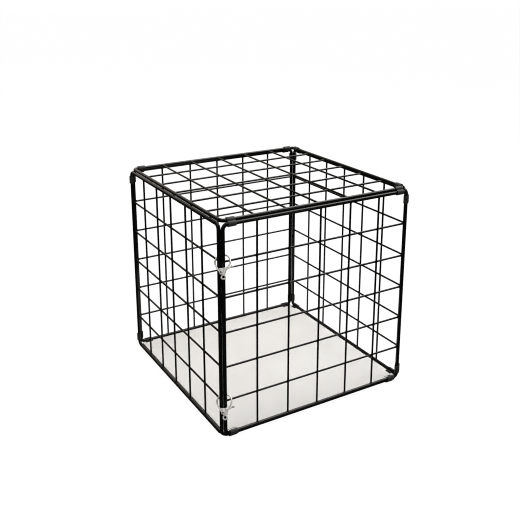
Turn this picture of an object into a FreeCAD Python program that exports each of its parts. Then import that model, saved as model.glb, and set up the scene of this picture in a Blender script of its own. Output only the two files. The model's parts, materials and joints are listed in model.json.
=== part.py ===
import FreeCAD, Part
import math
import os

Vector = FreeCAD.Vector
Rotation = FreeCAD.Rotation
Placement = FreeCAD.Placement

doc = FreeCAD.newDocument("KennelCage")

# ---------------------------------------------------------------- driving dimensions

DIMENSIONS = [
    ("panel_size", 350.0, "outer width and height of one square wire panel"),
    ("frame_wire", 6.0, "diameter of a panel's frame wire"),
    ("mesh_wire", 3.2, "diameter of the thin mesh wires"),
    ("bend_radius", 8.0, "radius of a frame corner, to the wire's centre"),
    ("cell_count", 6, "cells across one panel"),
    ("wire_gap", 0.3, "gap between the frame wires of neighbouring panels"),
    ("mesh_inset", 0.9, "mesh plane, inside the frame's middle plane"),
    ("mesh_step", 1.4, "distance between the planes of upright and cross wires"),
    ("clip_length", 13.3, "length of a snap clip along the wires"),
    ("clip_wall", 1.5, "wall of a snap clip"),
    ("clip_fit", 0.06, "radial clearance of a clip on a frame wire"),
    ("clip_mouth", 4.2, "width of each slot that a wire snaps through"),
    ("clip_setback", 17.5, "clip's middle, from the panel's corner"),
    ("board_thickness", 1.2, "floor board"),
    ("board_play", 2.2, "gap between the floor board and the panels"),
    ("board_corner", 6.0, "corner radius of the floor board"),
    ("board_lift", 0.05, "gap between the floor board and the mesh it lies on"),
    ("notch_depth", 4.8, "notch for a clip in the edge of the board"),
    ("notch_play", 0.6, "gap at each end of a clip in its notch"),
    ("ring_radius", 11.5, "clasp ring, to the wire's centre"),
    ("ring_wire", 2.5, "diameter of the clasp's hook"),
    ("hook_start", -62.0, "angle where the hook leaves the clasp's base"),
    ("hook_end", 190.0, "angle of the hook's tip"),
    ("base_top", 9.5, "top of the clasp's base, below the ring's centre"),
    ("base_bottom", 20.8, "bottom of the clasp's base"),
    ("base_width", 12.8, "width of the base at its top"),
    ("neck_width", 3.8, "width of the base at its bottom"),
    ("base_thickness", 4.2, "thickness of the base"),
    ("slot_width", 2.1, "slot in the base for the lever"),
    ("slot_bottom", 19.0, "bottom of that slot, below the ring's centre"),
    ("pivot_side", 3.3, "pivot, left of the clasp's middle line"),
    ("pivot_drop", 16.5, "pivot, below the ring's centre"),
    ("boss_radius", 2.6, "round boss of the base at the pivot"),
    ("rivet_radius", 0.8, "pivot rivet's shank"),
    ("rivet_fit", 0.05, "radial clearance of the rivet"),
    ("rivet_head_radius", 1.6, "rivet heads"),
    ("rivet_head", 0.6, "thickness of a rivet head"),
    ("eye_drop", 24.0, "centre of the eye, below the ring's centre"),
    ("eye_radius", 4.2, "outside of the eye"),
    ("eye_hole_radius", 2.0, "hole of the eye"),
    ("eye_thickness", 2.4, "thickness of the eye"),
    ("lever_thickness", 1.9, "thickness of the lever"),
    ("hub_radius", 2.1, "lever's hub"),
    ("gate_length", 13.5, "pivot to the gate's rounded end"),
    ("gate_width", 2.4, "width of the gate"),
    ("gate_angle", 120.6, "direction of the gate from the pivot"),
    ("trigger_length", 18.5, "pivot to the thumb nub"),
    ("trigger_width", 1.8, "width of the trigger arm"),
    ("trigger_angle", 23.0, "direction of the trigger arm from the pivot"),
    ("nub_radius", 2.0, "thumb nub"),
    ("pocket_radius", 1.8, "spring pocket in the lever's hub"),
    ("pocket_depth", 0.95, "depth of the spring pocket"),
    ("spring_radius", 1.25, "coil spring, to the wire's centre"),
    ("spring_wire", 0.18, "radius of the spring's wire"),
    ("spring_pitch", 0.4, "rise of one turn of the spring"),
    ("spring_lift", 0.15, "gap between the spring and the pocket's floor"),
    ("clasp_tilt", 45.0, "lean of a clasp's ring from the vertical"),
    ("clasp_lean", 15.0, "turn of a clasp in its own plane"),
    ("clasp_side_upper", 2.8, "upper ring's centre, towards the front panel"),
    ("clasp_side_lower", 2.3, "lower ring's centre, towards the front panel"),
    ("clasp_cross", 2.2, "where the frame wires pass the ring, above its centre"),
    ("clasp_rise_upper", 1.2, "upper ring's centre above its cross wire"),
    ("clasp_rise_lower", 0.6, "lower ring's centre above its cross wire"),
    ("shift_x", 2.308, "cage's middle from the centre of the overall box, in X"),
    ("shift_y", 8.2865, "cage's middle from the centre of the overall box, in Y"),
]

sheet = doc.addObject("Spreadsheet::Sheet", "Sheet")
for row, (alias, size, meaning) in enumerate(DIMENSIONS, start=1):
    sheet.set("A%d" % row, meaning)
    sheet.set("B%d" % row, str(size))
    sheet.setAlias("B%d" % row, alias)
doc.recompute()


def size(alias):
    return float(sheet.get(alias))


# Sizes that follow from the driving dimensions, as expressions for the objects ...
HALF = "(Sheet.panel_size - Sheet.frame_wire) / 2"
STRAIGHT = "Sheet.panel_size - Sheet.frame_wire - 2 * Sheet.bend_radius"
CLIP_OUTER = "Sheet.frame_wire / 2 + Sheet.clip_wall"
CLIP_BORE = "Sheet.frame_wire / 2 + Sheet.clip_fit"
SPACING = "Sheet.frame_wire + Sheet.wire_gap"

# ... and as numbers for the placements.
half = (size("panel_size") - size("frame_wire")) / 2
pitch = 2 * half / size("cell_count")
spacing = size("frame_wire") + size("wire_gap")
plane = half + spacing / math.sqrt(2)
pair = (half + plane) / 2
clip_reach = size("frame_wire") / 2 + size("clip_wall")
middle = Vector(size("shift_x"), size("shift_y"), plane + clip_reach)

X, Y, Z = Vector(1, 0, 0), Vector(0, 1, 0), Vector(0, 0, 1)
ORIGIN = Vector(0, 0, 0)
nodes = []


# ---------------------------------------------------------------- building blocks

def primitive(kind, name, sizes, base=ORIGIN, turn=Rotation()):
    """A Part primitive whose sizes are bound to the sheet."""
    item = doc.addObject("Part::" + kind, name)
    for prop, expression in sizes.items():
        item.setExpression(prop, expression)
    item.Placement = Placement(base, turn)
    return item


def fuse(name, items):
    item = doc.addObject("Part::MultiFuse", name)
    item.Shapes = items
    return item


def cut(name, base, tool):
    item = doc.addObject("Part::Cut", name)
    item.Base = base
    item.Tool = tool
    return item


def compound(name, items):
    item = doc.addObject("Part::Compound", name)
    item.Links = items
    return item


def finish(item, label, place):
    """Names a finished sub-part and puts it in its place."""
    item.Label = label
    item.Placement = place
    nodes.append(item)


def frame_of(x_axis, y_axis, z_axis, base):
    """The placement with these axes; base is measured from the cage's middle."""
    return Placement(middle + base, Rotation(x_axis, y_axis, z_axis, "ZXY"))


def along(axis):
    return Rotation(Z, axis)


# ---------------------------------------------------------------- wire panels

def panel_frame(label, place):
    """One wire bent into a square with round corners, in its own X-Y plane."""
    pieces = []
    for turn in range(4):
        quarter = Rotation(Z, 90 * turn)
        bar = primitive("Cylinder", "Bar", {"Radius": "Sheet.frame_wire / 2", "Height": STRAIGHT},
                        quarter.multVec(Vector(half, size("bend_radius") - half, 0)),
                        quarter * along(Y))
        corner = half - size("bend_radius")
        bend = primitive("Torus", "Bend",
                         {"Radius1": "Sheet.bend_radius", "Radius2": "Sheet.frame_wire / 2"},
                         quarter.multVec(Vector(corner, corner, 0)), quarter)
        bend.Angle3 = 90
        pieces += [bar, bend]
    finish(fuse("PanelFrame", pieces), label, place)


def mesh_wires(label, place, axis, across, level):
    """The parallel thin wires of a panel: their ends are welded to the frame wire."""
    wires = []
    for index in range(1, int(size("cell_count"))):
        base = across * (index * pitch - half) - axis * half + Z * level
        wires.append(primitive("Cylinder", "Wire", {"Radius": "Sheet.mesh_wire / 2",
                                                    "Height": "2 * " + HALF}, base, along(axis)))
    finish(compound("MeshWires", wires), label, place)


# Each panel's own axes: right, up and outwards.
PANELS = {
    "front": (X, Z, -Y),
    "back": (-X, Z, Y),
    "right": (Y, Z, X),
    "door": (-Y, Z, -X),
    "top": (X, Y, Z),
    "bottom": (X, -Y, -Z),
}

for name, (right, up, out) in PANELS.items():
    place = frame_of(right, up, out, out * plane)
    step = size("mesh_step") / 2
    panel_frame(name + "_frame", place)
    mesh_wires(name + "_upright_wires", place, Y, X, step - size("mesh_inset"))
    mesh_wires(name + "_cross_wires", place, X, Y, -step - size("mesh_inset"))


# ---------------------------------------------------------------- snap clips

def snap_clip(label, place):
    """Two C-shaped grips side by side, each open towards -Y, extruded along Z."""
    grips = []
    for side in (-1, 1):
        base = Vector(side * spacing / 2, 0, -size("clip_length") / 2)
        shell = primitive("Cylinder", "Grip", {"Radius": CLIP_OUTER,
                                               "Height": "Sheet.clip_length"}, base)
        grips.append(shell)
    body = fuse("Grips", grips)
    tools = []
    for side in (-1, 1):
        base = Vector(side * spacing / 2, 0, -size("clip_length") / 2)
        tools.append(primitive("Cylinder", "Bore", {"Radius": CLIP_BORE,
                                                    "Height": "Sheet.clip_length"}, base))
        corner = base + Vector(-size("clip_mouth") / 2, -2 * clip_reach, 0)
        tools.append(primitive("Box", "Mouth", {"Length": "Sheet.clip_mouth",
                                                "Width": "2 * (" + CLIP_OUTER + ")",
                                                "Height": "Sheet.clip_length"}, corner))
    finish(cut("SnapClip", body, fuse("BoresAndMouths", tools)), label, place)


def clip_pair(edge, side_a, side_b, ends):
    """Two clips on the edge where the panels facing side_a and side_b meet."""
    out = (side_a + side_b).normalize()
    line = (side_a - side_b).normalize()
    run = line.cross(out)
    reach = size("panel_size") / 2 - size("clip_setback")
    for end, direction in ends:
        base = (side_a + side_b) * pair + direction * reach
        snap_clip("clip_%s_%s" % (edge, end), frame_of(line, out, run, base))


SIDEWAYS = (("left", -X), ("right", X))
LENGTHWAYS = (("front", -Y), ("rear", Y))
UPRIGHT = (("lower", -Z), ("upper", Z))

clip_pair("top_front", Z, -Y, SIDEWAYS)
clip_pair("top_back", Z, Y, SIDEWAYS)
clip_pair("top_side", Z, X, LENGTHWAYS)
clip_pair("bottom_front", -Z, -Y, SIDEWAYS)
clip_pair("bottom_back", -Z, Y, SIDEWAYS)
clip_pair("bottom_side", -Z, X, LENGTHWAYS)
clip_pair("front_post", -Y, X, UPRIGHT)
clip_pair("back_post", Y, X, UPRIGHT)
clip_pair("door_hinge", Y, -X, UPRIGHT)


# ---------------------------------------------------------------- floor board

def floor_board():
    """A thin board on the bottom mesh, notched where the lower clips stand."""
    span = "2 * (" + HALF + " + (" + SPACING + ") / sqrt(2) - Sheet.frame_wire / 2 - Sheet.board_play)"
    reach = plane - size("frame_wire") / 2 - size("board_play")
    slab = primitive("Box", "Slab", {"Length": span, "Width": span, "Height": "Sheet.board_thickness"},
                     Vector(-reach, -reach, 0))
    doc.recompute()
    rounded = doc.addObject("Part::Fillet", "RoundedSlab")
    rounded.Base = slab
    upright = [number for number, edge in enumerate(slab.Shape.Edges, start=1)
               if abs(edge.tangentAt(edge.FirstParameter).z) > 0.5]
    rounded.Edges = [(number, size("board_corner"), size("board_corner")) for number in upright]
    notches = []
    for turn in (-90, 0, 90):
        for end in (-1, 1):
            offset = end * (size("panel_size") / 2 - size("clip_setback"))
            quarter = Rotation(Z, turn)
            notch_length = size("clip_length") + 2 * size("notch_play")
            corner = Vector(reach - size("notch_depth"), offset - notch_length / 2, 0)
            notches.append(primitive("Box", "Notch", {"Length": "2 * Sheet.notch_depth",
                                                      "Width": "Sheet.clip_length + 2 * Sheet.notch_play",
                                                      "Height": "Sheet.board_thickness"},
                                     quarter.multVec(corner), quarter))
    mesh_top = size("mesh_inset") + size("mesh_step") / 2 + size("mesh_wire") / 2
    level = -plane + max(mesh_top, size("frame_wire") / 2) + size("board_lift")
    board = cut("FloorBoard", rounded, fuse("Notches", notches))
    finish(board, "floor_board", Placement(middle + Z * level, Rotation()))


floor_board()


# ---------------------------------------------------------------- trigger clasps

# A clasp is built in its own X-Y plane, upright, with the ring's centre at the origin.

def polar(radius, angle):
    radians = math.radians(angle)
    return Vector(radius * math.cos(radians), radius * math.sin(radians), 0)


pivot = Vector(-size("pivot_side"), -size("pivot_drop"), 0)


def clasp_hook(label, place):
    """Hook, slotted base and eye, cast in one piece."""
    hook = primitive("Torus", "Hook", {"Radius1": "Sheet.ring_radius", "Radius2": "Sheet.ring_wire / 2",
                                       "Angle3": "Sheet.hook_end - Sheet.hook_start"},
                     ORIGIN, Rotation(Z, size("hook_start")))
    tip = primitive("Sphere", "HookTip", {"Radius": "Sheet.ring_wire / 2"},
                    polar(size("ring_radius"), size("hook_end")))
    base = primitive("Wedge", "Base", {"Xmin": "-Sheet.neck_width / 2", "Xmax": "Sheet.neck_width / 2",
                                       "X2min": "-Sheet.base_width / 2", "X2max": "Sheet.base_width / 2",
                                       "Ymin": "-Sheet.base_bottom", "Ymax": "-Sheet.base_top",
                                       "Zmin": "-Sheet.base_thickness / 2",
                                       "Zmax": "Sheet.base_thickness / 2",
                                       "Z2min": "-Sheet.base_thickness / 2",
                                       "Z2max": "Sheet.base_thickness / 2"})
    thickness = size("base_thickness")
    boss = primitive("Cylinder", "Boss", {"Radius": "Sheet.boss_radius", "Height": "Sheet.base_thickness"},
                     pivot - Z * thickness / 2)
    wide = size("base_width")
    slot = primitive("Box", "LeverSlot", {"Length": "2 * Sheet.base_width",
                                          "Width": "Sheet.slot_bottom",
                                          "Height": "Sheet.slot_width"},
                     Vector(-wide, -size("slot_bottom"), -size("slot_width") / 2))
    hole = primitive("Cylinder", "RivetHole", {"Radius": "Sheet.rivet_radius + Sheet.rivet_fit",
                                               "Height": "2 * Sheet.base_thickness"},
                     pivot - Z * thickness)
    cheeks = cut("Cheeks", fuse("BaseAndBoss", [base, boss]), fuse("SlotAndHole", [slot, hole]))
    eye_base = Vector(0, -size("eye_drop"), -size("eye_thickness") / 2)
    eye = primitive("Cylinder", "Eye", {"Radius": "Sheet.eye_radius", "Height": "Sheet.eye_thickness"},
                    eye_base)
    eye_hole = primitive("Cylinder", "EyeHole", {"Radius": "Sheet.eye_hole_radius",
                                                 "Height": "2 * Sheet.base_thickness"},
                         Vector(0, -size("eye_drop"), -thickness))
    body = fuse("HookBody", [hook, tip, cheeks, eye])
    finish(cut("ClaspHook", body, eye_hole), label, place)


def clasp_lever(label, place):
    """The gate that closes the ring and its thumb trigger, on one hub."""
    lift = -Z * size("lever_thickness") / 2

    def arm(name, length, width, angle):
        turn = Rotation(Z, angle)
        corner = pivot + lift + turn.multVec(Vector(0, -size(width) / 2, 0))
        return primitive("Box", name, {"Length": "Sheet." + length, "Width": "Sheet." + width,
                                       "Height": "Sheet.lever_thickness"}, corner, turn)

    hub = primitive("Cylinder", "Hub", {"Radius": "Sheet.hub_radius", "Height": "Sheet.lever_thickness"},
                    pivot + lift)
    gate = arm("Gate", "gate_length", "gate_width", size("gate_angle"))
    gate_end = primitive("Cylinder", "GateEnd", {"Radius": "Sheet.gate_width / 2",
                                                 "Height": "Sheet.lever_thickness"},
                         pivot + lift + polar(size("gate_length"), size("gate_angle")))
    trigger = arm("Trigger", "trigger_length", "trigger_width", size("trigger_angle"))
    nub = primitive("Sphere", "Nub", {"Radius": "Sheet.nub_radius"},
                    pivot + polar(size("trigger_length"), size("trigger_angle")))
    bore = primitive("Cylinder", "RivetBore", {"Radius": "Sheet.rivet_radius + Sheet.rivet_fit",
                                               "Height": "2 * Sheet.lever_thickness"},
                     pivot + 2 * lift)
    floor = size("lever_thickness") / 2 - size("pocket_depth")
    pocket = primitive("Cylinder", "SpringPocket", {"Radius": "Sheet.pocket_radius",
                                                    "Height": "Sheet.lever_thickness"},
                       pivot + Z * floor)
    body = fuse("LeverBody", [hub, gate, gate_end, trigger, nub])
    finish(cut("ClaspLever", body, fuse("BoreAndPocket", [bore, pocket])), label, place)


def clasp_rivet(label, place):
    thickness = size("base_thickness")
    shank = primitive("Cylinder", "Shank", {"Radius": "Sheet.rivet_radius",
                                            "Height": "Sheet.base_thickness"},
                      pivot - Z * thickness / 2)
    pieces = [shank]
    for base in (-thickness / 2 - size("rivet_head"), thickness / 2):
        pieces.append(primitive("Cylinder", "RivetHead", {"Radius": "Sheet.rivet_head_radius",
                                                          "Height": "Sheet.rivet_head"},
                                pivot + Z * base))
    finish(fuse("ClaspRivet", pieces), label, place)


def clasp_spring(label, place):
    """The coil that pushes the gate shut, round the rivet in the hub's pocket."""
    floor = size("lever_thickness") / 2 - size("pocket_depth")
    start = pivot + Z * (floor + size("spring_lift") + size("spring_wire"))
    path = primitive("Helix", "SpringPath", {"Pitch": "Sheet.spring_pitch", "Height": "Sheet.spring_pitch",
                                             "Radius": "Sheet.spring_radius"}, start)
    section = primitive("Circle", "SpringSection", {"Radius": "Sheet.spring_wire"},
                        start + X * size("spring_radius"), along(Y))
    doc.recompute()
    coil = doc.addObject("Part::Sweep", "ClaspSpring")
    coil.Sections = [section]
    coil.Spine = (path, ["Edge%d" % number for number in range(1, len(path.Shape.Edges) + 1)])
    coil.Solid = True
    coil.Frenet = True
    finish(coil, label, place)


def clasp(name, level, rise, side):
    """One clasp round the two frame wires where the door meets the front panel."""
    right = Vector(1, -1, 0).normalize()
    inwards = Vector(1, 1, 0).normalize()
    tilt = math.radians(size("clasp_tilt"))
    up = Z * math.cos(tilt) + inwards * math.sin(tilt)
    out = right.cross(up)
    crossing = Vector(-pair, -pair, level + rise + size("clasp_cross") * math.cos(tilt))
    centre = crossing + right * side - up * size("clasp_cross")
    lean = Placement(ORIGIN, Rotation(Z, size("clasp_lean")))
    place = frame_of(right, up, out, centre) * lean
    clasp_hook("clasp_%s_hook" % name, place)
    clasp_lever("clasp_%s_lever" % name, place)
    clasp_rivet("clasp_%s_rivet" % name, place)
    clasp_spring("clasp_%s_spring" % name, place)


clasp("upper", 2 * pitch, size("clasp_rise_upper"), size("clasp_side_upper"))
clasp("lower", -2 * pitch, size("clasp_rise_lower"), size("clasp_side_lower"))


# ---------------------------------------------------------------- check and write

doc.recompute()
for item in doc.Objects:
    if "Invalid" in item.State or "Error" in item.State:
        raise RuntimeError("%s (%s) failed: %s" % (item.Name, item.Label, item.State))
for item in nodes:
    if item.Shape.isNull() or not item.Shape.isValid():
        raise RuntimeError("%s has no valid shape" % item.Label)

os.makedirs("parts", exist_ok=True)
for item in nodes:
    item.Shape.exportStep("parts/%s.step" % item.Label)
    box = item.Shape.BoundBox
    print("%-28s solids %d volume %9.1f  x %8.2f %8.2f  y %8.2f %8.2f  z %8.2f %8.2f" % (
        item.Label, len(item.Shape.Solids), item.Shape.Volume,
        box.XMin, box.XMax, box.YMin, box.YMax, box.ZMin, box.ZMax))
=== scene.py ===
"""Looks of the wire kennel cage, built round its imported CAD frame.

Every length is in metres in the frame's own axes. The clasps alone are worked out in millimetres,
in the upright plane that they were cast in, and are scaled when their meshes are made.
"""

import json
import math

import bpy
import numpy as np
import openvdb
from mathutils import Matrix, Vector, noise


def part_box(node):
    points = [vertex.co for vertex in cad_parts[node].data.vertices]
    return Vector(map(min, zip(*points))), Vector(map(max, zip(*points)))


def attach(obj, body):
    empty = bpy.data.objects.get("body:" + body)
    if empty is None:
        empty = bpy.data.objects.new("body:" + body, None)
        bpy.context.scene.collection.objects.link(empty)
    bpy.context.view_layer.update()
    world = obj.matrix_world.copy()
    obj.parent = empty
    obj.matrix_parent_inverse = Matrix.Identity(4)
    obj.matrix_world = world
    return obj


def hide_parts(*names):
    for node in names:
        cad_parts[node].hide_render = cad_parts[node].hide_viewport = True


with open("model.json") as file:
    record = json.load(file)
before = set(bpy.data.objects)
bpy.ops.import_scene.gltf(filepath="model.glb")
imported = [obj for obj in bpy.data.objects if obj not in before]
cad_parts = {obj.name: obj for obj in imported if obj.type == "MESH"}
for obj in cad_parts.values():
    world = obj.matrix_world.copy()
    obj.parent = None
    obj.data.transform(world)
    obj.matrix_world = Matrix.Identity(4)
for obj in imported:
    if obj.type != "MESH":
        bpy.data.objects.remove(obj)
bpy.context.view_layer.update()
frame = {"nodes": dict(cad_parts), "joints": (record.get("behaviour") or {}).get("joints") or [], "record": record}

MM = 0.001
X, Y, Z = Vector((1, 0, 0)), Vector((0, 1, 0)), Vector((0, 0, 1))

# Each panel's own axes: right, up and outwards.
PANELS = {
    "front": (X, Z, -Y),
    "back": (-X, Z, Y),
    "right": (Y, Z, X),
    "door": (-Y, Z, -X),
    "top": (X, Y, Z),
    "bottom": (X, -Y, -Z),
}
CELLS = 6

# Read from the frame. HALF is half a panel's width and PLANE is a wall's distance from the middle of the
# cage, both to the frame wires' centres. PAIR_SPACING is the distance between two neighbouring ones.
front_low, front_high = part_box("front_frame")
back_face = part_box("back_frame")[1].y
left_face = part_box("door_frame")[0].x
right_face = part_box("right_frame")[1].x
cross_low, cross_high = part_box("front_cross_wires")
FRAME_RADIUS = (front_high.y - front_low.y) / 2
MESH_RADIUS = (cross_high.y - cross_low.y) / 2
MIDDLE = Vector(((left_face + right_face) / 2, (front_low.y + back_face) / 2,
                 (front_low.z + front_high.z) / 2))
HALF = (front_high.x - front_low.x) / 2 - FRAME_RADIUS
PLANE = (right_face - left_face) / 2 - FRAME_RADIUS
PITCH = 2 * HALF / CELLS
PAIR_SPACING = (PLANE - HALF) * math.sqrt(2)

# An edge that turns by more than this many degrees is shaded as an edge.
SHARP_MOULDED, SHARP_CAST = 40, 50


def body_of_panel(name):
    return "door" if name == "door" else "root"


# ---------------------------------------------------------------- mesh code

LUMP_SCALE = 900    # lumps to a metre in a weld's skin
SIDE_SHARE = 0.45   # as much of a side as one rounded corner may take
MITRE_LIMIT = 0.4   # keeps a sharp corner in place when its outline is moved inwards


class Shape:
    """Vertices and faces that several closed surfaces are gathered in."""

    def __init__(self):
        self.points = []
        self.faces = []
        self.rubbed = []

    def add(self, points, faces, rubbed=None):
        start = len(self.points)
        self.points += [Vector(point) for point in points]
        self.faces += [tuple(start + index for index in face) for face in faces]
        self.rubbed += rubbed or [0.0] * len(points)

    def piece(self, name, material, sharp_angle=None):
        mesh = bpy.data.meshes.new(name)
        mesh.from_pydata(self.points, [], self.faces)
        mesh.polygons.foreach_set("use_smooth", [True] * len(mesh.polygons))
        if sharp_angle is not None:
            mesh.set_sharp_from_angle(angle=math.radians(sharp_angle))
        if any(self.rubbed):
            mesh.attributes.new("rubbed", "FLOAT", "POINT").data.foreach_set("value", self.rubbed)
        mesh.materials.append(material)
        item = bpy.data.objects.new(name, mesh)
        bpy.context.scene.collection.objects.link(item)
        return item


def rings_to_faces(ring_count, sides, closed):
    """Four-sided faces between neighbouring rings of points; closed joins the last ring to the first."""
    faces = []
    for ring in range(ring_count if closed else ring_count - 1):
        following = (ring + 1) % ring_count
        for side in range(sides):
            beside = (side + 1) % sides
            faces.append((ring * sides + side, ring * sides + beside,
                          following * sides + beside, following * sides + side))
    return faces


def flat_tube(shape, path, hint, radius, sides):
    """A closed round tube along a path that lies in the plane square to hint."""
    count = len(path)
    points = []
    for index, centre in enumerate(path):
        tangent = (path[(index + 1) % count] - path[index - 1]).normalized()
        side_axis = tangent.cross(hint)
        for side in range(sides):
            angle = 2 * math.pi * side / sides
            points.append(centre + radius * (math.cos(angle) * side_axis + math.sin(angle) * hint))
    faces = rings_to_faces(count, sides, True)
    shape.add(points, [tuple(reversed(face)) for face in faces])


def rod(shape, start, axis, hint, stations, sides):
    """A straight rod; stations are (distance from start, half width, half height)."""
    side_axis = axis.cross(hint).normalized()
    points = []
    for distance, wide, high in stations:
        for side in range(sides):
            angle = 2 * math.pi * side / sides
            points.append(start + axis * distance
                          + side_axis * (wide * math.cos(angle)) + hint * (high * math.sin(angle)))
    faces = rings_to_faces(len(stations), sides, False)
    tip = len(points)
    points += [start + axis * stations[0][0], start + axis * stations[-1][0]]
    base = (len(stations) - 1) * sides
    for side in range(sides):
        beside = (side + 1) % sides
        faces.append((beside, side, tip))
        faces.append((base + side, base + beside, tip + 1))
    shape.add(points, faces)


def nugget(shape, centre, axes, radii, unevenness, around=14, rows=8):
    """A weld's small lump: a squashed ball with an uneven skin."""
    points = [centre + axes[2] * radii[2]]
    for row in range(1, rows):
        polar = math.pi * row / rows
        for step in range(around):
            turn = 2 * math.pi * step / around
            unit = (math.sin(polar) * math.cos(turn), math.sin(polar) * math.sin(turn), math.cos(polar))
            point = sum((axes[k] * (unit[k] * radii[k]) for k in range(3)), Vector())
            swell = 1 + unevenness * noise.noise((centre + point) * LUMP_SCALE)
            points.append(centre + point * swell)
    points.append(centre - axes[2] * radii[2])
    faces = []
    for step in range(around):
        beside = (step + 1) % around
        faces.append((0, 1 + step, 1 + beside))
        for row in range(rows - 2):
            first = 1 + row * around
            faces.append((first + step, first + around + step, first + around + beside, first + beside))
        base = 1 + (rows - 2) * around
        faces.append((len(points) - 1, base + beside, base + step))
    shape.add(points, faces)


def arc(centre, radius, start, end, steps):
    """Flat points on a circle, from one angle to another in degrees."""
    angles = [math.radians(start + (end - start) * step / steps) for step in range(steps + 1)]
    return [(centre[0] + radius * math.cos(a), centre[1] + radius * math.sin(a)) for a in angles]


def rounded(outline, radius, steps=4, least_turn=25):
    """The outline with its sharp corners rounded off."""
    count = len(outline)
    smooth = []
    for index in range(count):
        before = Vector(outline[index - 1])
        here = Vector(outline[index])
        after = Vector(outline[(index + 1) % count])
        into, out_of = here - before, after - here
        turn = into.angle(out_of)
        if math.degrees(turn) < least_turn:
            smooth.append(tuple(here))
            continue
        reach = min(radius * math.tan(turn / 2), SIDE_SHARE * into.length, SIDE_SHARE * out_of.length)
        first, last = here - into.normalized() * reach, here + out_of.normalized() * reach
        for step in range(steps + 1):
            share = step / steps
            point = first.lerp(here, share).lerp(here.lerp(last, share), share)
            smooth.append(tuple(point))
    return smooth


def inset(outline, distance):
    """The outline moved inwards; the outline runs counterclockwise."""
    count = len(outline)
    moved = []
    for index in range(count):
        here = Vector(outline[index])
        into = (here - Vector(outline[index - 1])).normalized()
        out_of = (Vector(outline[(index + 1) % count]) - here).normalized()
        normal_a, normal_b = Vector((-into.y, into.x)), Vector((-out_of.y, out_of.x))
        middle = (normal_a + normal_b).normalized()
        moved.append(here + middle * (distance / max(MITRE_LIMIT, middle.dot(normal_a))))
    return moved


def extrude(shape, outline, origin, axes, low, high, bevel, steps=4):
    """An outline drawn out along the third axis, with rounded edges at both ends."""
    bevel_ring = [math.pi / 2 * step / steps for step in range(steps + 1)]
    rings = [(low + bevel * (1 - math.sin(a)), bevel * (1 - math.cos(a)), a) for a in reversed(bevel_ring)]
    rings += [(high - bevel * (1 - math.sin(a)), bevel * (1 - math.cos(a)), a) for a in bevel_ring]
    points, rubbed = [], []
    for height, depth, angle in rings:
        for u, v in inset(outline, depth):
            points.append(origin + axes[0] * u + axes[1] * v + axes[2] * height)
            rubbed.append(math.sin(2 * angle))
    sides = len(outline)
    faces = rings_to_faces(len(rings), sides, False)
    faces.append(tuple(reversed(range(sides))))
    faces.append(tuple(range((len(rings) - 1) * sides, len(rings) * sides)))
    shape.add(points, faces, rubbed)


# ---------------------------------------------------------------- materials

NOISE_LOW, NOISE_HIGH = 0.3, 0.7        # nearly all of a noise texture's values lie between these
DUST_AND_SHEEN_STARTS, DUST_AND_SHEEN_MOST = 0.35, 0.24     # how far up a surface faces to hold dust and a painted warm sheen, and how much at most


def node_material(name):
    material = bpy.data.materials.new(name)
    material.use_nodes = True
    tree = material.node_tree
    return material, tree.nodes, tree.links, tree.nodes["Principled BSDF"]


def noise_texture(nodes, links, scale, detail, roughness=0.55):
    """Noise in the object's own coordinates; scale is waves to a metre."""
    place = nodes.new("ShaderNodeTexCoord")
    texture = nodes.new("ShaderNodeTexNoise")
    texture.inputs["Scale"].default_value = scale
    texture.inputs["Detail"].default_value = detail
    texture.inputs["Roughness"].default_value = roughness
    links.new(place.outputs["Object"], texture.inputs["Vector"])
    return texture


def ramp(nodes, links, source, stops):
    """A colour ramp over a texture, from one (place, colour) to another."""
    item = nodes.new("ShaderNodeValToRGB")
    for element, (place, colour) in zip(item.color_ramp.elements, stops):
        element.position, element.color = place, (*colour, 1)
    links.new(source, item.inputs["Fac"])
    return item


def spread(nodes, links, source, low, high):
    """Maps a noise texture to the range from low to high."""
    item = nodes.new("ShaderNodeMapRange")
    item.inputs["From Min"].default_value = NOISE_LOW
    item.inputs["From Max"].default_value = NOISE_HIGH
    item.inputs["To Min"].default_value = low
    item.inputs["To Max"].default_value = high
    links.new(source, item.inputs["Value"])
    return item


def bump(nodes, links, shader, source, height, strength):
    """Raises the surface by a texture, by up to the height in metres."""
    item = nodes.new("ShaderNodeBump")
    item.inputs["Distance"].default_value = height
    item.inputs["Strength"].default_value = strength
    links.new(source, item.inputs["Height"])
    links.new(item.outputs["Normal"], shader.inputs["Normal"])


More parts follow.
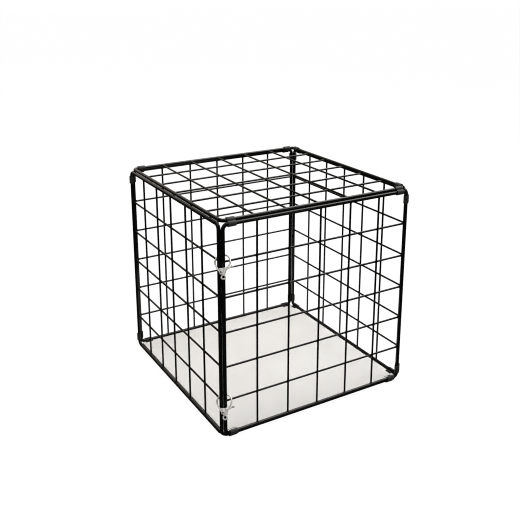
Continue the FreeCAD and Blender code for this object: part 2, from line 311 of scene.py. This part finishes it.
def coated_wire():
    """Black powder coat: semi-gloss, faint orange peel, and a little dust with a painted sheen, a paler warm grey,
    on what faces up.
    """
    material, nodes, links, shader = node_material("black_powder_coat")
    patches = noise_texture(nodes, links, scale=120, detail=4)
    colour = ramp(nodes, links, patches.outputs["Fac"],
                  [(0.3, (0.0030, 0.0028, 0.0025)), (0.7, (0.0055, 0.0050, 0.0044))])
    # Painted sheen as well as dust: the more a surface faces up, the more it is mixed towards a paler warm grey,
    # in specks.
    geometry = nodes.new("ShaderNodeNewGeometry")
    split = nodes.new("ShaderNodeSeparateXYZ")
    links.new(geometry.outputs["Normal"], split.inputs["Vector"])
    facing_up = nodes.new("ShaderNodeMapRange")
    facing_up.inputs["From Min"].default_value = DUST_AND_SHEEN_STARTS
    facing_up.inputs["From Max"].default_value = 1.0
    facing_up.inputs["To Max"].default_value = DUST_AND_SHEEN_MOST
    links.new(split.outputs["Z"], facing_up.inputs["Value"])
    dust_and_sheen_specks = noise_texture(nodes, links, scale=900, detail=5, roughness=0.7)
    dust_and_sheen_share = nodes.new("ShaderNodeMath")
    dust_and_sheen_share.operation = "MULTIPLY"
    links.new(facing_up.outputs["Result"], dust_and_sheen_share.inputs[0])
    links.new(dust_and_sheen_specks.outputs["Fac"], dust_and_sheen_share.inputs[1])
    dust_and_sheen_mix = nodes.new("ShaderNodeMix")
    dust_and_sheen_mix.data_type = "RGBA"
    dust_and_sheen_mix.inputs["B"].default_value = (0.105, 0.094, 0.078, 1)
    links.new(dust_and_sheen_share.outputs["Value"], dust_and_sheen_mix.inputs["Factor"])
    links.new(colour.outputs["Color"], dust_and_sheen_mix.inputs["A"])
    links.new(dust_and_sheen_mix.outputs["Result"], shader.inputs["Base Color"])
    peel = noise_texture(nodes, links, scale=450, detail=2)
    gloss = spread(nodes, links, patches.outputs["Fac"], low=0.15, high=0.22)
    links.new(gloss.outputs["Result"], shader.inputs["Roughness"])
    shader.inputs["Specular IOR Level"].default_value = 0.5
    bump(nodes, links, shader, peel.outputs["Fac"], height=0.00003, strength=0.25)
    return material


def clip_plastic():
    """Charcoal moulded plastic with a fine eroded grain, a little paler where it is rubbed."""
    material, nodes, links, shader = node_material("charcoal_plastic")
    clouds = noise_texture(nodes, links, scale=260, detail=4)
    colour = ramp(nodes, links, clouds.outputs["Fac"],
                  [(0.3, (0.036, 0.036, 0.032)), (0.7, (0.054, 0.054, 0.049))])
    rubbed = nodes.new("ShaderNodeAttribute")
    rubbed.attribute_name = "rubbed"
    paler = nodes.new("ShaderNodeMix")
    paler.data_type = "RGBA"
    paler.inputs["B"].default_value = (0.085, 0.084, 0.078, 1)
    links.new(rubbed.outputs["Fac"], paler.inputs["Factor"])
    links.new(colour.outputs["Color"], paler.inputs["A"])
    links.new(paler.outputs["Result"], shader.inputs["Base Color"])
    grain = noise_texture(nodes, links, scale=5200, detail=3, roughness=0.6)
    gloss = spread(nodes, links, clouds.outputs["Fac"], low=0.50, high=0.62)
    links.new(gloss.outputs["Result"], shader.inputs["Roughness"])
    bump(nodes, links, shader, grain.outputs["Fac"], height=0.00005, strength=0.6)
    return material


def plated_metal():
    """Nickel plate on cast zinc: bright, satin and slightly wavy, with faint darker clouds."""
    material, nodes, links, shader = node_material("nickel_plate")
    clouds = noise_texture(nodes, links, scale=420, detail=4)
    colour = ramp(nodes, links, clouds.outputs["Fac"],
                  [(0.25, (0.85, 0.82, 0.78)), (0.6, (0.96, 0.945, 0.92))])
    links.new(colour.outputs["Color"], shader.inputs["Base Color"])
    shader.inputs["Metallic"].default_value = 0.35
    gloss = spread(nodes, links, clouds.outputs["Fac"], low=0.28, high=0.42)
    links.new(gloss.outputs["Result"], shader.inputs["Roughness"])
    waves = noise_texture(nodes, links, scale=1300, detail=3)
    bump(nodes, links, shader, waves.outputs["Fac"], height=0.00008, strength=0.35)
    return material


def bright_steel():
    """Drawn steel of the rivets and springs."""
    material, nodes, links, shader = node_material("bright_steel")
    streaks = noise_texture(nodes, links, scale=1600, detail=5)
    colour = ramp(nodes, links, streaks.outputs["Fac"],
                  [(0.3, (0.40, 0.37, 0.33)), (0.7, (0.58, 0.56, 0.53))])
    links.new(colour.outputs["Color"], shader.inputs["Base Color"])
    shader.inputs["Metallic"].default_value = 1.0
    gloss = spread(nodes, links, streaks.outputs["Fac"], low=0.28, high=0.45)
    links.new(gloss.outputs["Result"], shader.inputs["Roughness"])
    bump(nodes, links, shader, streaks.outputs["Fac"], height=0.00002, strength=0.4)
    return material


def board_plastic():
    """Light warm grey board with a fine matt grain and faint cloudy shades."""
    material, nodes, links, shader = node_material("warm_grey_board")
    clouds = noise_texture(nodes, links, scale=9, detail=3)
    colour = ramp(nodes, links, clouds.outputs["Fac"],
                  [(0.3, (0.702, 0.692, 0.674)), (0.7, (0.745, 0.737, 0.721))])
    links.new(colour.outputs["Color"], shader.inputs["Base Color"])
    grain = noise_texture(nodes, links, scale=2600, detail=4, roughness=0.65)
    gloss = spread(nodes, links, grain.outputs["Fac"], low=0.55, high=0.68)
    links.new(gloss.outputs["Result"], shader.inputs["Roughness"])
    bump(nodes, links, shader, grain.outputs["Fac"], height=0.00004, strength=0.35)
    return material


BLACK = coated_wire()
CHARCOAL = clip_plastic()
NICKEL = plated_metal()
STEEL = bright_steel()
BOARD = board_plastic()

LOOKS = {"coated_wire": BLACK, "clip_plastic": CHARCOAL, "clasp_metal": NICKEL,
         "spring_steel": STEEL, "board": BOARD}
for part in frame["record"]["subparts"]:
    mesh = frame["nodes"][part["node"]].data
    mesh.materials.clear()
    mesh.materials.append(LOOKS[part["material_slot"]])


# ---------------------------------------------------------------- wire panels

BEND_RADIUS = 8.0 * MM
BEND_STEPS = 14
FRAME_SIDES, MESH_SIDES = 28, 16

# Half of the length of mesh wire that lies against the frame wire, and how much wider it is pressed there.
HALF_LAP = (FRAME_RADIUS ** 2 - MESH_RADIUS ** 2) ** 0.5
PRESSED = 0.35

# Each weld's half sizes along three axes, and the unevenness of its skin.
BUTT_WELD = (2.2 * MM, FRAME_RADIUS + 0.12 * MM, FRAME_RADIUS + 0.12 * MM)
BUTT_WELD_UNEVENNESS = 0.03
END_WELD = (1.5 * MM, MESH_RADIUS * 1.5, MESH_RADIUS * 0.98)
END_WELD_UNEVENNESS = 0.22
END_WELD_INSET = FRAME_RADIUS * 0.86
END_WELD_RISE = 0.1 * MM
CROSSING_WELD = (MESH_RADIUS * 1.75, MESH_RADIUS * 1.75, MESH_RADIUS * 0.85)
CROSSING_WELD_UNEVENNESS = 0.18


def stand_in(piece, node, body):
    """The piece rides on the body and is shown in place of the node, which is hidden."""
    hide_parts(node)
    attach(piece, body)
    return piece


def panel_frame(name):
    """One wire bent to a square with round corners, closed by a butt weld in one side."""
    right, up, out = PANELS[name]
    low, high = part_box(name + "_frame")
    centre = (low + high) / 2
    reach = HALF - BEND_RADIUS
    path = []
    for turn, (u, v) in enumerate(((1, 1), (-1, 1), (-1, -1), (1, -1))):
        corner = arc((u * reach, v * reach), BEND_RADIUS, 90 * turn, 90 * turn + 90, BEND_STEPS)
        path += [centre + right * point[0] + up * point[1] for point in corner]
    shape = Shape()
    flat_tube(shape, path, out, FRAME_RADIUS, FRAME_SIDES)
    nugget(shape, centre - right * HALF + up * (PITCH / 3), (up, right, out),
           BUTT_WELD, BUTT_WELD_UNEVENNESS, around=24, rows=10)
    return stand_in(shape.piece(name + "_panel_frame", BLACK), name + "_frame", body_of_panel(name))


def mesh_stations():
    """Radii along a mesh wire: eased at its ends, and pressed a little wider over the frame wires."""
    ends = [(0.0, 0.6), (0.4 * MM, 0.85), (1.0 * MM, 1.0)]
    weld = [(HALF_LAP * share, 1.0 + PRESSED * math.exp(-((share - 1.0) / 0.45) ** 2))
            for share in (0.5, 0.7, 0.85, 1.0, 1.15, 1.3, 1.5, 1.8, 2.2, 2.8)]
    near = [(distance, scale * MESH_RADIUS, min(scale, 1.0) * MESH_RADIUS)
            for distance, scale in ends + weld]
    return near + [(2 * HALF - distance, wide, high) for distance, wide, high in reversed(near)]


def mesh_wires(name, kind, along_axis, across_axis):
    """The parallel thin wires of a panel with the welds at their ends."""
    out = PANELS[name][2]
    node = "%s_%s_wires" % (name, kind)
    low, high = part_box(node)
    centre = (low + high) / 2
    shape = Shape()
    for index in range(1, CELLS):
        middle = centre + across_axis * (index * PITCH - HALF)
        rod(shape, middle - along_axis * HALF, along_axis, out, mesh_stations(), MESH_SIDES)
        for sign in (-1, 1):
            spot = middle + along_axis * (sign * (HALF - END_WELD_INSET)) + out * END_WELD_RISE
            nugget(shape, spot, (along_axis, across_axis, out), END_WELD, END_WELD_UNEVENNESS)
    return stand_in(shape.piece("%s_panel_%s_wires" % (name, kind), BLACK), node, body_of_panel(name))


def crossing_welds(name):
    """The small webs of coating that fill the corners where two mesh wires are welded."""
    right, up, out = PANELS[name]
    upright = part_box(name + "_upright_wires")
    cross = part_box(name + "_cross_wires")
    centre = (upright[0] + upright[1] + cross[0] + cross[1]) / 4
    shape = Shape()
    for column in range(1, CELLS):
        for row in range(1, CELLS):
            spot = centre + right * (column * PITCH - HALF) + up * (row * PITCH - HALF)
            nugget(shape, spot, (right, up, out), CROSSING_WELD, CROSSING_WELD_UNEVENNESS)
    piece = shape.piece(name + "_panel_welds", BLACK)
    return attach(piece, body_of_panel(name))


for panel, (right, up, out) in PANELS.items():
    panel_frame(panel)
    mesh_wires(panel, "upright", up, right)
    mesh_wires(panel, "cross", right, up)
    crossing_welds(panel)


# ---------------------------------------------------------------- snap clips

CLIP_WALL = 1.5 * MM
CLIP_FIT = 0.06 * MM
CLIP_MOUTH = 4.2 * MM
CLIP_LIP = 0.45 * MM        # rounding of the lips and of the groove
CLIP_EASING = 0.4 * MM      # rounding of the end faces' edges


def clip_outline():
    """Two C-shaped grips side by side, open downwards, with eased lips and a soft groove between them."""
    outer = FRAME_RADIUS + CLIP_WALL
    bore = FRAME_RADIUS + CLIP_FIT
    apart = PAIR_SPACING / 2
    lip_out = math.degrees(math.acos(CLIP_MOUTH / 2 / outer))
    lip_in = math.degrees(math.acos(CLIP_MOUTH / 2 / bore))
    meet = math.degrees(math.acos(apart / outer))
    outline = arc((apart, 0), outer, -lip_out, 180 - meet, 26)
    outline += arc((-apart, 0), outer, meet, 180 + lip_out, 26)[1:]
    outline += arc((-apart, 0), bore, 180 + lip_in, -lip_in, 24)
    outline += arc((-apart, 0), outer, -lip_out, -meet, 3)
    outline += arc((apart, 0), outer, 180 + meet, 180 + lip_out, 3)[1:]
    outline += arc((apart, 0), bore, 180 + lip_in, -lip_in, 24)
    return rounded(outline, CLIP_LIP)


CLIP_OUTLINE = clip_outline()

# Each edge with clips: the way that its two panels face, and the ends that its clips stand near.
EDGES = {
    "top_front": (Z, -Y, ("left", "right")),
    "top_back": (Z, Y, ("left", "right")),
    "top_side": (Z, X, ("front", "rear")),
    "bottom_front": (-Z, -Y, ("left", "right")),
    "bottom_back": (-Z, Y, ("left", "right")),
    "bottom_side": (-Z, X, ("front", "rear")),
    "front_post": (-Y, X, ("lower", "upper")),
    "back_post": (Y, X, ("lower", "upper")),
    "door_hinge": (Y, -X, ("lower", "upper")),
}


def snap_clip(edge, end):
    """One clip, astride the two frame wires of its edge, where the CAD clip stands."""
    node = "clip_%s_%s" % (edge, end)
    side_a, side_b, _ = EDGES[edge]
    out = (side_a + side_b).normalized()
    line = (side_a - side_b).normalized()
    run = line.cross(out)
    low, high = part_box(node)
    centre = MIDDLE + (side_a + side_b) * ((HALF + PLANE) / 2)
    length = abs((high - low).dot(run))
    centre += run * ((low + high) / 2 - centre).dot(run)
    shape = Shape()
    extrude(shape, CLIP_OUTLINE, centre, (line, out, run), -length / 2, length / 2, CLIP_EASING)
    piece = shape.piece("snap_" + node, CHARCOAL, SHARP_MOULDED)
    return stand_in(piece, node, "root")


for edge, (_, _, ends) in EDGES.items():
    for end in ends:
        snap_clip(edge, end)


# ---------------------------------------------------------------- floor board

BOARD_CORNER = 3.0 * MM
BOARD_EASING = 0.3 * MM
NOTCH_PLAY = 0.25 * MM

# The board's sides in turn, with the edge of the cage whose clips notch each; none stand on the door's.
BOARD_SIDES = ((X, "bottom_side"), (Y, "bottom_back"), (-X, None), (-Y, "bottom_front"))


def floor_board():
    """A thin board with eased edges, notched round the lower clips."""
    low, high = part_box("floor_board")
    centre = (low + high) / 2
    reach = (high.x - low.x) / 2
    outline = []
    for side, edge in BOARD_SIDES:
        across = Z.cross(side)
        corner = side * reach - across * reach
        outline.append((corner.x, corner.y))
        if edge is None:
            continue
        spots = []
        for end in EDGES[edge][2]:
            clip_low, clip_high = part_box("clip_%s_%s" % (edge, end))
            spots.append((clip_low - centre, clip_high - centre))
        spots.sort(key=lambda spot: spot[0].dot(across))
        for spot in spots:
            ends = sorted((spot[0].dot(across), spot[1].dot(across)))
            first, last = ends[0] - NOTCH_PLAY, ends[1] + NOTCH_PLAY
            depth = min(spot[0].dot(side), spot[1].dot(side)) - NOTCH_PLAY
            for along, out in ((first, reach), (first, depth), (last, depth), (last, reach)):
                point = side * out + across * along
                outline.append((point.x, point.y))
    shape = Shape()
    thick = high.z - low.z
    extrude(shape, rounded(outline, BOARD_CORNER, 6), centre, (X, Y, Z),
            -thick / 2, thick / 2, BOARD_EASING)
    piece = shape.piece("removable_floor_board", BOARD, SHARP_MOULDED)
    return stand_in(piece, "floor_board", "root")


floor_board()


# ---------------------------------------------------------------- trigger clasps

# Sizes in millimetres in the plane of the clasp: the ring's centre is the origin and the eye hangs below.
RING_RADIUS, RING_WIRE = 11.5, 2.5
HOOK_START, HOOK_END = -62.0, 190.0
BASE_TOP, BASE_BOTTOM = 9.5, 20.8
BASE_WIDTH, NECK_WIDTH, BASE_THICKNESS = 12.8, 3.8, 4.2
SLOT_WIDTH, SLOT_BOTTOM = 2.1, 19.0
PIVOT = (-3.3, -16.5)
BOSS_RADIUS, RIVET_RADIUS, RIVET_FIT = 2.6, 0.8, 0.05
RIVET_HEAD_RADIUS, RIVET_HEAD = 1.6, 0.6
EYE_DROP, EYE_RADIUS, EYE_HOLE_RADIUS = 24.0, 4.2, 2.0
LEVER_THICKNESS, HUB_RADIUS = 1.9, 2.1
GATE_LENGTH, GATE_WIDTH, GATE_ANGLE = 13.5, 2.4, 120.6
TRIGGER_LENGTH, TRIGGER_WIDTH, TRIGGER_ANGLE = 18.5, 1.8, 23.0
NUB_RADIUS = 2.0
POCKET_RADIUS, POCKET_DEPTH = 1.8, 0.95
SPRING_RADIUS, SPRING_WIRE, SPRING_PITCH, SPRING_LIFT, SPRING_TURNS = 1.25, 0.18, 0.4, 0.15, 1.0
RECESS_START, RECESS_END, RECESS_WIDTH, RECESS_DEPTH = (-5.0, -12.6), (-1.3, -19.0), 2.5, 0.75
RIB_START, RIB_END, RIB_WIDTH = (2.9, -11.6), (0.1, -21.6), 2.3
RECESS_TAPER, RECESS_EASING, RIB_SINK = 0.7, 0.2, 0.45
HOOK_FLARE, HOOK_FLARE_REACH = 0.15, 11.0
BASE_EASING, LEVER_EASING = 0.55, 0.4
GATE_BOW, TRIGGER_BOW, TRIGGER_ROOT = 0.7, 0.5, 1.25

# Fillets where two forms of a clasp run into each other.
BOSS_FILLET, RIB_FILLET, RING_FILLET, EYE_FILLET = 0.8, 0.7, 0.9, 0.9
SLOT_FILLET, RECESS_FILLET = 0.25, 0.3
LEVER_FILLET, NUB_FILLET = 0.8, 0.7

CLASP_LEAN = 15.0   # degrees that a clasp hangs out of the upright
VOXEL = 0.2         # the step of the grid that its forms are blended on


def voxels(low, high):
    """Coordinates of a grid of points between two corners."""
    return np.meshgrid(*[np.arange(a, b + VOXEL, VOXEL) for a, b in zip(low, high)], indexing="ij")


def join(a, b, blend):
    """The union of two distance fields, with a fillet."""
    share = np.clip(0.5 + 0.5 * (b - a) / blend, 0, 1)
    return b + (a - b) * share - blend * share * (1 - share)


def carve(a, tool, blend):
    """A distance field less a tool's, with a fillet."""
    return -join(-a, tool, blend)


def slab(flat, z, half_thickness, easing):
    """A flat outline's distance field given a thickness and eased edges."""
    outside = np.hypot(np.maximum(flat + easing, 0), np.maximum(np.abs(z) - half_thickness + easing, 0))
    inside = np.minimum(np.maximum(flat + easing, np.abs(z) - half_thickness + easing), 0)
    return outside + inside - easing


def strip(x, y, start, end, width_start, width_end, bow=0.0):
    """Distance in the plane to a straight or bowed strip with round ends."""
    ax, ay = x - start[0], y - start[1]
    dx, dy = end[0] - start[0], end[1] - start[1]
    length = math.hypot(dx, dy)
    along = (ax * dx + ay * dy) / length
    across = (ay * dx - ax * dy) / length
    share = np.clip(along / length, 0, 1)
    across = across - bow * 4 * share * (1 - share)
    past = along - share * length
    return np.hypot(past, across) - (width_start + (width_end - width_start) * share) / 2


def surface(field, low):
    """The mesh of a distance field's zero surface."""
    volume = openvdb.FloatGrid(float(field.max()))
    volume.copyFromArray(np.ascontiguousarray(field, dtype=np.float32))
    points, triangles, quads = volume.convertToPolygons(isovalue=0.0, adaptivity=0.0)
    points = np.asarray(points) * VOXEL + np.asarray(low)
    return points, [tuple(face) for face in triangles] + [tuple(face) for face in quads]


def hook_field(x, y, z):
    """Hook, slotted base and eye, cast in one piece."""
    opening = (HOOK_START + HOOK_END) / 2 - 180
    angle = np.degrees(np.arctan2(y, x))
    angle = np.where(angle < opening, angle + 360, angle)
    nearest = np.radians(np.clip(angle, HOOK_START, HOOK_END))
    thicker = HOOK_FLARE * np.exp(-np.maximum(angle - HOOK_START, 0) / HOOK_FLARE_REACH)
    centre_line = np.hypot(x - RING_RADIUS * np.cos(nearest), y - RING_RADIUS * np.sin(nearest))
    ring = np.hypot(centre_line, z) - RING_WIRE / 2 - thicker
    slope = math.atan2((BASE_WIDTH - NECK_WIDTH) / 2, BASE_BOTTOM - BASE_TOP)
    side = (np.abs(x) - NECK_WIDTH / 2) * math.cos(slope) - (y + BASE_BOTTOM) * math.sin(slope)
    wedge = np.maximum(side, np.maximum(y + BASE_TOP, -y - BASE_BOTTOM))
    wedge = np.maximum(wedge, RING_RADIUS - RING_WIRE / 2 - np.hypot(x, y))
    from_pivot = np.hypot(x - PIVOT[0], y - PIVOT[1])
    boss = from_pivot - BOSS_RADIUS
    base = slab(join(wedge, boss, BOSS_FILLET), z, BASE_THICKNESS / 2, BASE_EASING)
    slot = np.maximum(np.abs(z) - SLOT_WIDTH / 2, -SLOT_BOTTOM - y)
    rib_line = strip(x, y, RIB_START, RIB_END, 0, 0)
    rib = np.hypot(rib_line, z - BASE_THICKNESS / 2 + RIB_SINK) - RIB_WIDTH / 2
    base = join(base, rib, RIB_FILLET)
    base = carve(base, slot, SLOT_FILLET)
    recess = strip(x, y, RECESS_START, RECESS_END, RECESS_WIDTH, RECESS_WIDTH * RECESS_TAPER)
    recess = slab(recess, z - BASE_THICKNESS / 2, RECESS_DEPTH, RECESS_EASING)
    base = carve(base, recess, RECESS_FILLET)
    eye = np.hypot(np.hypot(x, y + EYE_DROP) - (EYE_RADIUS + EYE_HOLE_RADIUS) / 2, z)
    eye = eye - (EYE_RADIUS - EYE_HOLE_RADIUS) / 2
    body = join(join(base, ring, RING_FILLET), eye, EYE_FILLET)
    body = np.maximum(body, EYE_HOLE_RADIUS - np.hypot(x, y + EYE_DROP))
    hole = from_pivot - RIVET_RADIUS - RIVET_FIT
    return np.maximum(body, -hole)


def end_of(length, angle):
    """The point at that length and angle from the pivot."""
    turn = math.radians(angle)
    return (PIVOT[0] + length * math.cos(turn), PIVOT[1] + length * math.sin(turn))


def lever_field(x, y, z):
    """The gate that closes the ring and the thumb trigger, on one hub."""
    from_pivot = np.hypot(x - PIVOT[0], y - PIVOT[1])
    hub = from_pivot - HUB_RADIUS
    gate = strip(x, y, PIVOT, end_of(GATE_LENGTH, GATE_ANGLE), GATE_WIDTH, GATE_WIDTH, GATE_BOW)
    nub_centre = end_of(TRIGGER_LENGTH, TRIGGER_ANGLE)
    trigger = strip(x, y, PIVOT, nub_centre, TRIGGER_WIDTH * TRIGGER_ROOT, TRIGGER_WIDTH, TRIGGER_BOW)
    outline = join(join(hub, gate, LEVER_FILLET), trigger, LEVER_FILLET)
    plate = slab(outline, z, LEVER_THICKNESS / 2, LEVER_EASING)
    nub = np.sqrt((x - nub_centre[0]) ** 2 + (y - nub_centre[1]) ** 2 + z ** 2) - NUB_RADIUS
    body = join(plate, nub, NUB_FILLET)
    pocket = np.maximum(from_pivot - POCKET_RADIUS, LEVER_THICKNESS / 2 - POCKET_DEPTH - z)
    hole = from_pivot - RIVET_RADIUS - RIVET_FIT
    return np.maximum(np.maximum(body, -pocket), -hole)


def turned(profile, steps=32):
    """A surface turned about the pivot's axis from (radius, height) points, closed at both ends."""
    points = []
    for radius, height in profile:
        for step in range(steps):
            angle = 2 * math.pi * step / steps
            points.append((PIVOT[0] + radius * math.cos(angle),
                           PIVOT[1] + radius * math.sin(angle), height))
    faces = rings_to_faces(len(profile), steps, False)
    faces.append(tuple(reversed(range(steps))))
    faces.append(tuple(range((len(profile) - 1) * steps, len(profile) * steps)))
    return points, faces


def rivet_mesh():
    """A shank with two low domed heads."""
    rise = BASE_THICKNESS / 2
    dome = [(RIVET_HEAD_RADIUS * math.cos(math.radians(a)), rise + RIVET_HEAD * math.sin(math.radians(a)))
            for a in (0, 15, 30, 45, 60, 75, 88)]
    upper = [(RIVET_RADIUS, rise), (RIVET_HEAD_RADIUS * 0.97, rise)] + dome
    lower = [(radius, -height) for radius, height in reversed(upper)]
    return turned(lower + upper)


def spring_mesh(steps=48, sides=10):
    """The coil that pushes the gate shut, round the rivet in the hub's pocket."""
    floor = LEVER_THICKNESS / 2 - POCKET_DEPTH + SPRING_LIFT + SPRING_WIRE
    points = []
    count = int(SPRING_TURNS * steps) + 1
    for step in range(count):
        angle = 2 * math.pi * step / steps
        outward = Vector((math.cos(angle), math.sin(angle), 0))
        centre = Vector((PIVOT[0], PIVOT[1], floor + SPRING_PITCH * step / steps)) + outward * SPRING_RADIUS
        for side in range(sides):
            turn = 2 * math.pi * side / sides
            points.append(centre + SPRING_WIRE * (outward * math.cos(turn) + Z * math.sin(turn)))
    faces = [tuple(reversed(face)) for face in rings_to_faces(count, sides, False)]
    faces.append(tuple(range(sides)))
    faces.append(tuple(reversed(range((count - 1) * sides, count * sides))))
    return points, faces


# Corners of the boxes that the two cast forms are worked out in.
HOOK_LOW, HOOK_HIGH = (-14.0, -33.0, -3.4), (14.0, 14.0, 3.4)
LEVER_LOW, LEVER_HIGH = (-14.5, -21.0, -3.0), (18.0, -1.5, 3.0)
CLASP_MESHES = {
    "hook": surface(hook_field(*voxels(HOOK_LOW, HOOK_HIGH)), HOOK_LOW),
    "lever": surface(lever_field(*voxels(LEVER_LOW, LEVER_HIGH)), LEVER_LOW),
    "rivet": rivet_mesh(),
    "spring": spring_mesh(),
}


def clasp(who):
    """One clasp in its place: its plane follows from the two joints that it turns on."""
    joints = {joint["name"]: joint for joint in frame["joints"]}
    trigger, swing = joints["clasp_%s_trigger" % who], joints["clasp_%s_swing" % who]
    out = -Vector(trigger["axis"])
    level = -Vector(swing["axis"])
    lean = Matrix.Rotation(math.radians(CLASP_LEAN), 3, out)
    right = lean @ level
    up = out.cross(right)
    origin = Vector(trigger["pos_m"]) - (right * PIVOT[0] + up * PIVOT[1]) * MM
    for part, (points, faces) in CLASP_MESHES.items():
        shape = Shape()
        shape.add([origin + (right * p[0] + up * p[1] + out * p[2]) * MM for p in points], faces)
        material = NICKEL if part in ("hook", "lever") else STEEL
        piece = shape.piece("trigger_clasp_%s_%s" % (who, part), material, SHARP_CAST)
        body = "clasp_%s_lever_arm" % who if part == "lever" else "clasp_" + who
        stand_in(piece, "clasp_%s_%s" % (who, part), body)


for who in ("upper", "lower"):
    clasp(who)


# ---------------------------------------------------------------- camera, lights and floor

CAMERA_FROM_MIDDLE = Vector((-0.6382, -1.0781, 0.5193))
CAMERA_TURN = 30.50
CAMERA_DOWN = 15.61
CAMERA_LENS = 51.58
CAMERA_SHIFT = (-0.0030, -0.150)

# Each soft box: its place, width and height, brightness and colour.
SOFT_BOXES = {
    "overhead": ((0.85, 0.20, 1.75), (2.2, 1.7), 4.2, (1.0, 0.995, 0.985)),
    "behind": ((0.30, 2.20, 1.15), (2.8, 1.3), 0.95, (1.0, 0.92, 0.80)),
    "upper_left": ((-1.00, -0.50, 1.50), (0.8, 0.8), 1.2, (1, 1, 1)),
    "front_left": ((-1.7, -1.2, 0.5), (0.3, 0.8), 0.8, (1, 1, 1)),
    "front_right": ((0.9, -1.9, 0.5), (0.3, 0.8), 0.8, (1, 1, 1)),
}
WHITE = (1, 1, 1, 1)
FILL_COLOUR, FILL = (1.0, 0.995, 0.985, 1), 0.40    # the light that comes from all round
MIRRORED = 0.05     # how bright the surroundings look in gloss
GAMMA = 0.85
PIXEL_FILTER = 1.1
FLOOR_COLOUR = (0.06, 0.06, 0.06, 1)
FLOOR_GLOW = 0.97   # what the floor shows by itself, so that its shadows stay faint
FLOOR_REACH = 14.0


def place_camera():
    data = bpy.data.cameras.new("camera")
    data.lens = CAMERA_LENS
    data.shift_x, data.shift_y = CAMERA_SHIFT
    camera = bpy.data.objects.new("camera", data)
    turn, down = math.radians(CAMERA_TURN), math.radians(CAMERA_DOWN)
    looking = Vector((math.sin(turn) * math.cos(down), math.cos(turn) * math.cos(down), -math.sin(down)))
    camera.location = MIDDLE + CAMERA_FROM_MIDDLE
    camera.rotation_mode = "QUATERNION"
    camera.rotation_quaternion = looking.to_track_quat("-Z", "Y")
    bpy.context.scene.collection.objects.link(camera)
    bpy.context.scene.camera = camera


def soft_box(name, place, size, radiance, colour):
    """A soft box that faces the middle of the cage and is as bright as said, whatever its size."""
    data = bpy.data.lights.new(name, "AREA")
    data.shape = "RECTANGLE"
    data.size, data.size_y = size
    data.energy = math.pi * size[0] * size[1] * radiance
    data.color = colour
    light = bpy.data.objects.new(name, data)
    light.location = place
    light.rotation_mode = "QUATERNION"
    light.rotation_quaternion = (MIDDLE - Vector(place)).to_track_quat("-Z", "Y")
    light.visible_camera = False
    bpy.context.scene.collection.objects.link(light)


def studio():
    """White surroundings to look at and to light softly, and dark ones for gloss to mirror."""
    world = bpy.data.worlds.new("studio")
    bpy.context.scene.world = world
    world.use_nodes = True
    nodes, links = world.node_tree.nodes, world.node_tree.links
    seen = nodes["Background"]
    seen.inputs["Color"].default_value = WHITE
    seen.inputs["Strength"].default_value = 1.0
    fill = nodes.new("ShaderNodeBackground")
    fill.inputs["Color"].default_value = FILL_COLOUR
    fill.inputs["Strength"].default_value = FILL
    mirrored = nodes.new("ShaderNodeBackground")
    mirrored.inputs["Strength"].default_value = MIRRORED
    path = nodes.new("ShaderNodeLightPath")
    glossy = nodes.new("ShaderNodeMixShader")
    links.new(path.outputs["Is Glossy Ray"], glossy.inputs["Fac"])
    links.new(fill.outputs["Background"], glossy.inputs[1])
    links.new(mirrored.outputs["Background"], glossy.inputs[2])
    mix = nodes.new("ShaderNodeMixShader")
    links.new(path.outputs["Is Camera Ray"], mix.inputs["Fac"])
    links.new(glossy.outputs["Shader"], mix.inputs[1])
    links.new(seen.outputs["Background"], mix.inputs[2])
    links.new(mix.outputs["Shader"], nodes["World Output"].inputs["Surface"])
    for name, (place, size, radiance, colour) in SOFT_BOXES.items():
        soft_box(name, place, size, radiance, colour)
    settings = bpy.context.scene.view_settings
    settings.view_transform = "Standard"
    settings.gamma = GAMMA
    bpy.context.scene.cycles.filter_width = PIXEL_FILTER


def studio_floor():
    """A wide pale floor that glows by itself and neither lights nor shows in anything else."""
    material, _, _, shader = node_material("studio_floor")
    shader.inputs["Base Color"].default_value = FLOOR_COLOUR
    shader.inputs["Roughness"].default_value = 1.0
    shader.inputs["Specular IOR Level"].default_value = 0.0
    shader.inputs["Emission Color"].default_value = WHITE
    shader.inputs["Emission Strength"].default_value = FLOOR_GLOW
    shape = Shape()
    corners = [(x * FLOOR_REACH, y * FLOOR_REACH, 0) for x, y in ((-1, -1), (1, -1), (1, 1), (-1, 1))]
    shape.add(corners, [(0, 1, 2, 3)])
    floor = shape.piece("studio_floor", material)
    floor.visible_glossy = False
    floor.visible_diffuse = False


place_camera()
studio()
studio_floor()
